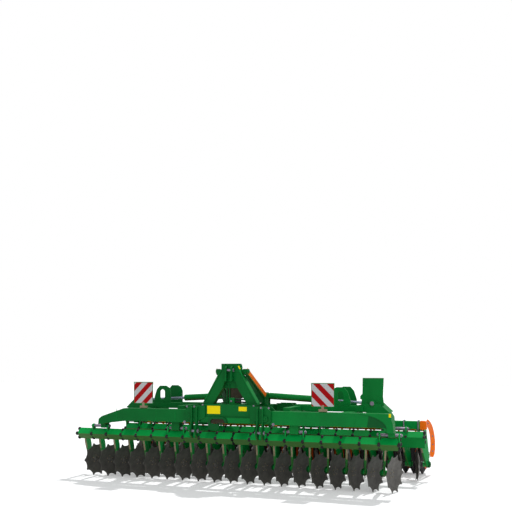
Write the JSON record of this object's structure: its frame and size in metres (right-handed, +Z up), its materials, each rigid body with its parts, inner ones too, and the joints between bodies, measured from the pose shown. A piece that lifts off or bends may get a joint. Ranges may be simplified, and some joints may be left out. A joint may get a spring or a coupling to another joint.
{
  "type": "mounted folding disc harrow",
  "caption": "Tractor-mounted compact disc harrow: two rows of notched discs on sprung arms, folding wings, three-point tower and a trailing wedge-ring roller.",
  "frame": {"origin": "on the ground under the middle of the machine's box", "axes": "+X across the machine to the right as the picture shows it, -Y towards the tractor, +Z up"},
  "size_m": [5.0353, 2.5725, 1.676],
  "materials": {
    "green_paint": "semi-gloss green paint",
    "orange_paint": "semi-gloss orange paint",
    "disc_steel": "dark tempered steel",
    "bar_and_rubber": "black painted bar with rubber cords",
    "rod_chrome": "hard-chromed rod",
    "roller": "black wedge rings on an orange drum",
    "warning_board": "red and white stripes"
  },
  "bodies": {
    "root": {"centre_frame": "green_paint", "tower": "green_paint"},
    "wing_left": {"wing_frame_left": "green_paint", "disc_carriers_left": "green_paint", "disc_bars_left": "bar_and_rubber", "roller_frame_left": "green_paint", "scrapers_left": "orange_paint", "end_guard_left": "orange_paint", "warning_board_left": "warning_board"},
    "barrel_left": {"cylinder_barrel_left": "green_paint"},
    "rod_left": {"cylinder_rod_left": "rod_chrome"},
    "roller_left_body": {"roller_left": "roller"},
    "wing_right": {"wing_frame_right": "green_paint", "disc_carriers_right": "green_paint", "disc_bars_right": "bar_and_rubber", "roller_frame_right": "green_paint", "scrapers_right": "orange_paint", "end_guard_right": "orange_paint", "warning_board_right": "warning_board"},
    "barrel_right": {"cylinder_barrel_right": "green_paint"},
    "rod_right": {"cylinder_rod_right": "rod_chrome"},
    "roller_right_body": {"roller_right": "roller"},
    "disc_front_01_body": {"disc_front_01": "disc_steel"},
    "disc_front_02_body": {"disc_front_02": "disc_steel"},
    "disc_front_03_body": {"disc_front_03": "disc_steel"},
    "disc_front_04_body": {"disc_front_04": "disc_steel"},
    "disc_front_05_body": {"disc_front_05": "disc_steel"},
    "disc_front_06_body": {"disc_front_06": "disc_steel"},
    "disc_front_07_body": {"disc_front_07": "disc_steel"},
    "disc_front_08_body": {"disc_front_08": "disc_steel"},
    "disc_front_09_body": {"disc_front_09": "disc_steel"},
    "disc_front_10_body": {"disc_front_10": "disc_steel"},
    "disc_front_11_body": {"disc_front_11": "disc_steel"},
    "disc_front_12_body": {"disc_front_12": "disc_steel"},
    "disc_front_13_body": {"disc_front_13": "disc_steel"},
    "disc_front_14_body": {"disc_front_14": "disc_steel"},
    "disc_front_15_body": {"disc_front_15": "disc_steel"},
    "disc_front_16_body": {"disc_front_16": "disc_steel"},
    "disc_front_17_body": {"disc_front_17": "disc_steel"},
    "disc_front_18_body": {"disc_front_18": "disc_steel"},
    "disc_front_19_body": {"disc_front_19": "disc_steel"},
    "disc_rear_01_body": {"disc_rear_01": "disc_steel"},
    "disc_rear_02_body": {"disc_rear_02": "disc_steel"},
    "disc_rear_03_body": {"disc_rear_03": "disc_steel"},
    "disc_rear_04_body": {"disc_rear_04": "disc_steel"},
    "disc_rear_05_body": {"disc_rear_05": "disc_steel"},
    "disc_rear_06_body": {"disc_rear_06": "disc_steel"},
    "disc_rear_07_body": {"disc_rear_07": "disc_steel"},
    "disc_rear_08_body": {"disc_rear_08": "disc_steel"},
    "disc_rear_09_body": {"disc_rear_09": "disc_steel"},
    "disc_rear_10_body": {"disc_rear_10": "disc_steel"},
    "disc_rear_11_body": {"disc_rear_11": "disc_steel"},
    "disc_rear_12_body": {"disc_rear_12": "disc_steel"},
    "disc_rear_13_body": {"disc_rear_13": "disc_steel"},
    "disc_rear_14_body": {"disc_rear_14": "disc_steel"},
    "disc_rear_15_body": {"disc_rear_15": "disc_steel"},
    "disc_rear_16_body": {"disc_rear_16": "disc_steel"},
    "disc_rear_17_body": {"disc_rear_17": "disc_steel"},
    "disc_rear_18_body": {"disc_rear_18": "disc_steel"},
    "disc_rear_19_body": {"disc_rear_19": "disc_steel"}
  },
  "joints": [
    {"name": "fold_left", "type": "hinge", "parent": "root", "child": "wing_left", "pos_m": [-0.55, -1.0975, 0.94], "axis": [0, 1, 0], "range_deg": [0, 90]},
    {"name": "cylinder_swing_left", "type": "hinge", "parent": "root", "child": "barrel_left", "pos_m": [-0.23, -0.2975, 1.215], "axis": [0, 1, 0], "range_deg": [-1, 90]},
    {"name": "cylinder_slide_left", "type": "slide", "parent": "barrel_left", "child": "rod_left", "axis": [-0.9984, 0, -0.0558], "range_m": [-0.62, 0.005]},
    {"name": "roller_spin_left", "type": "hinge", "parent": "wing_left", "child": "roller_left_body", "pos_m": [-1.2, 0.9925, 0.29], "axis": [1, 0, 0], "continuous": true},
    {"name": "fold_right", "type": "hinge", "parent": "root", "child": "wing_right", "pos_m": [0.55, -1.0975, 0.94], "axis": [0, -1, 0], "range_deg": [0, 90]},
    {"name": "cylinder_swing_right", "type": "hinge", "parent": "root", "child": "barrel_right", "pos_m": [0.23, -0.2975, 1.215], "axis": [0, -1, 0], "range_deg": [-1, 90]},
    {"name": "cylinder_slide_right", "type": "slide", "parent": "barrel_right", "child": "rod_right", "axis": [0.9984, 0, -0.0558], "range_m": [-0.62, 0.005]},
    {"name": "roller_spin_right", "type": "hinge", "parent": "wing_right", "child": "roller_right_body", "pos_m": [1.2, 0.9925, 0.29], "axis": [1, 0, 0], "continuous": true},
    {"name": "disc_front_01_spin", "type": "hinge", "parent": "wing_left", "child": "disc_front_01_body", "pos_m": [-2.3125, -0.7975, 0.24252], "axis": [0.9588, -0.284, 0], "continuous": true},
    {"name": "disc_front_02_spin", "type": "hinge", "parent": "wing_left", "child": "disc_front_02_body", "pos_m": [-2.0625, -0.7975, 0.24252], "axis": [0.9588, -0.284, 0], "continuous": true},
    {"name": "disc_front_03_spin", "type": "hinge", "parent": "wing_left", "child": "disc_front_03_body", "pos_m": [-1.8125, -0.7975, 0.24252], "axis": [0.9588, -0.284, 0], "continuous": true},
    {"name": "disc_front_04_spin", "type": "hinge", "parent": "wing_left", "child": "disc_front_04_body", "pos_m": [-1.5625, -0.7975, 0.24252], "axis": [0.9588, -0.284, 0], "continuous": true},
    {"name": "disc_front_05_spin", "type": "hinge", "parent": "wing_left", "child": "disc_front_05_body", "pos_m": [-1.3125, -0.7975, 0.24252], "axis": [0.9588, -0.284, 0], "continuous": true},
    {"name": "disc_front_06_spin", "type": "hinge", "parent": "wing_left", "child": "disc_front_06_body", "pos_m": [-1.0625, -0.7975, 0.24252], "axis": [0.9588, -0.284, 0], "continuous": true},
    {"name": "disc_front_07_spin", "type": "hinge", "parent": "wing_left", "child": "disc_front_07_body", "pos_m": [-0.8125, -0.7975, 0.24252], "axis": [0.9588, -0.284, 0], "continuous": true},
    {"name": "disc_front_08_spin", "type": "hinge", "parent": "wing_left", "child": "disc_front_08_body", "pos_m": [-0.5625, -0.7975, 0.24252], "axis": [0.9588, -0.284, 0], "continuous": true},
    {"name": "disc_front_09_spin", "type": "hinge", "parent": "wing_left", "child": "disc_front_09_body", "pos_m": [-0.3125, -0.7975, 0.24252], "axis": [0.9588, -0.284, 0], "continuous": true},
    {"name": "disc_front_10_spin", "type": "hinge", "parent": "wing_left", "child": "disc_front_10_body", "pos_m": [-0.0625, -0.7975, 0.24252], "axis": [0.9588, -0.284, 0], "continuous": true},
    {"name": "disc_front_11_spin", "type": "hinge", "parent": "wing_right", "child": "disc_front_11_body", "pos_m": [0.1875, -0.7975, 0.24252], "axis": [0.9588, -0.284, 0], "continuous": true},
    {"name": "disc_front_12_spin", "type": "hinge", "parent": "wing_right", "child": "disc_front_12_body", "pos_m": [0.4375, -0.7975, 0.24252], "axis": [0.9588, -0.284, 0], "continuous": true},
    {"name": "disc_front_13_spin", "type": "hinge", "parent": "wing_right", "child": "disc_front_13_body", "pos_m": [0.6875, -0.7975, 0.24252], "axis": [0.9588, -0.284, 0], "continuous": true},
    {"name": "disc_front_14_spin", "type": "hinge", "parent": "wing_right", "child": "disc_front_14_body", "pos_m": [0.9375, -0.7975, 0.24252], "axis": [0.9588, -0.284, 0], "continuous": true},
    {"name": "disc_front_15_spin", "type": "hinge", "parent": "wing_right", "child": "disc_front_15_body", "pos_m": [1.1875, -0.7975, 0.24252], "axis": [0.9588, -0.284, 0], "continuous": true},
    {"name": "disc_front_16_spin", "type": "hinge", "parent": "wing_right", "child": "disc_front_16_body", "pos_m": [1.4375, -0.7975, 0.24252], "axis": [0.9588, -0.284, 0], "continuous": true},
    {"name": "disc_front_17_spin", "type": "hinge", "parent": "wing_right", "child": "disc_front_17_body", "pos_m": [1.6875, -0.7975, 0.24252], "axis": [0.9588, -0.284, 0], "continuous": true},
    {"name": "disc_front_18_spin", "type": "hinge", "parent": "wing_right", "child": "disc_front_18_body", "pos_m": [1.9375, -0.7975, 0.24252], "axis": [0.9588, -0.284, 0], "continuous": true},
    {"name": "disc_front_19_spin", "type": "hinge", "parent": "wing_right", "child": "disc_front_19_body", "pos_m": [2.1875, -0.7975, 0.24252], "axis": [0.9588, -0.284, 0], "continuous": true},
    {"name": "disc_rear_01_spin", "type": "hinge", "parent": "wing_left", "child": "disc_rear_01_body", "pos_m": [-2.1875, 0.2675, 0.24252], "axis": [-0.9703, -0.2419, 0], "continuous": true},
    {"name": "disc_rear_02_spin", "type": "hinge", "parent": "wing_left", "child": "disc_rear_02_body", "pos_m": [-1.9375, 0.2675, 0.24252], "axis": [-0.9703, -0.2419, 0], "continuous": true},
    {"name": "disc_rear_03_spin", "type": "hinge", "parent": "wing_left", "child": "disc_rear_03_body", "pos_m": [-1.6875, 0.2675, 0.24252], "axis": [-0.9703, -0.2419, 0], "continuous": true},
    {"name": "disc_rear_04_spin", "type": "hinge", "parent": "wing_left", "child": "disc_rear_04_body", "pos_m": [-1.4375, 0.2675, 0.24252], "axis": [-0.9703, -0.2419, 0], "continuous": true},
    {"name": "disc_rear_05_spin", "type": "hinge", "parent": "wing_left", "child": "disc_rear_05_body", "pos_m": [-1.1875, 0.2675, 0.24252], "axis": [-0.9703, -0.2419, 0], "continuous": true},
    {"name": "disc_rear_06_spin", "type": "hinge", "parent": "wing_left", "child": "disc_rear_06_body", "pos_m": [-0.9375, 0.2675, 0.24252], "axis": [-0.9703, -0.2419, 0], "continuous": true},
    {"name": "disc_rear_07_spin", "type": "hinge", "parent": "wing_left", "child": "disc_rear_07_body", "pos_m": [-0.6875, 0.2675, 0.24252], "axis": [-0.9703, -0.2419, 0], "continuous": true},
    {"name": "disc_rear_08_spin", "type": "hinge", "parent": "wing_left", "child": "disc_rear_08_body", "pos_m": [-0.4375, 0.2675, 0.24252], "axis": [-0.9703, -0.2419, 0], "continuous": true},
    {"name": "disc_rear_09_spin", "type": "hinge", "parent": "wing_left", "child": "disc_rear_09_body", "pos_m": [-0.1875, 0.2675, 0.24252], "axis": [-0.9703, -0.2419, 0], "continuous": true},
    {"name": "disc_rear_10_spin", "type": "hinge", "parent": "wing_right", "child": "disc_rear_10_body", "pos_m": [0.0625, 0.2675, 0.24252], "axis": [-0.9703, -0.2419, 0], "continuous": true},
    {"name": "disc_rear_11_spin", "type": "hinge", "parent": "wing_right", "child": "disc_rear_11_body", "pos_m": [0.3125, 0.2675, 0.24252], "axis": [-0.9703, -0.2419, 0], "continuous": true},
    {"name": "disc_rear_12_spin", "type": "hinge", "parent": "wing_right", "child": "disc_rear_12_body", "pos_m": [0.5625, 0.2675, 0.24252], "axis": [-0.9703, -0.2419, 0], "continuous": true},
    {"name": "disc_rear_13_spin", "type": "hinge", "parent": "wing_right", "child": "disc_rear_13_body", "pos_m": [0.8125, 0.2675, 0.24252], "axis": [-0.9703, -0.2419, 0], "continuous": true},
    {"name": "disc_rear_14_spin", "type": "hinge", "parent": "wing_right", "child": "disc_rear_14_body", "pos_m": [1.0625, 0.2675, 0.24252], "axis": [-0.9703, -0.2419, 0], "continuous": true},
    {"name": "disc_rear_15_spin", "type": "hinge", "parent": "wing_right", "child": "disc_rear_15_body", "pos_m": [1.3125, 0.2675, 0.24252], "axis": [-0.9703, -0.2419, 0], "continuous": true},
    {"name": "disc_rear_16_spin", "type": "hinge", "parent": "wing_right", "child": "disc_rear_16_body", "pos_m": [1.5625, 0.2675, 0.24252], "axis": [-0.9703, -0.2419, 0], "continuous": true},
    {"name": "disc_rear_17_spin", "type": "hinge", "parent": "wing_right", "child": "disc_rear_17_body", "pos_m": [1.8125, 0.2675, 0.24252], "axis": [-0.9703, -0.2419, 0], "continuous": true},
    {"name": "disc_rear_18_spin", "type": "hinge", "parent": "wing_right", "child": "disc_rear_18_body", "pos_m": [2.0625, 0.2675, 0.24252], "axis": [-0.9703, -0.2419, 0], "continuous": true},
    {"name": "disc_rear_19_spin", "type": "hinge", "parent": "wing_right", "child": "disc_rear_19_body", "pos_m": [2.3125, 0.2675, 0.24252], "axis": [-0.9703, -0.2419, 0], "continuous": true}
  ],
  "couplings": [
    {"joint": "cylinder_swing_left", "follows": "fold_left", "ratio": 0.94972},
    {"joint": "cylinder_slide_left", "follows": "fold_left", "m_per_rad": -0.37464},
    {"joint": "cylinder_swing_right", "follows": "fold_right", "ratio": 0.94972},
    {"joint": "cylinder_slide_right", "follows": "fold_right", "m_per_rad": -0.37464}
  ]
}
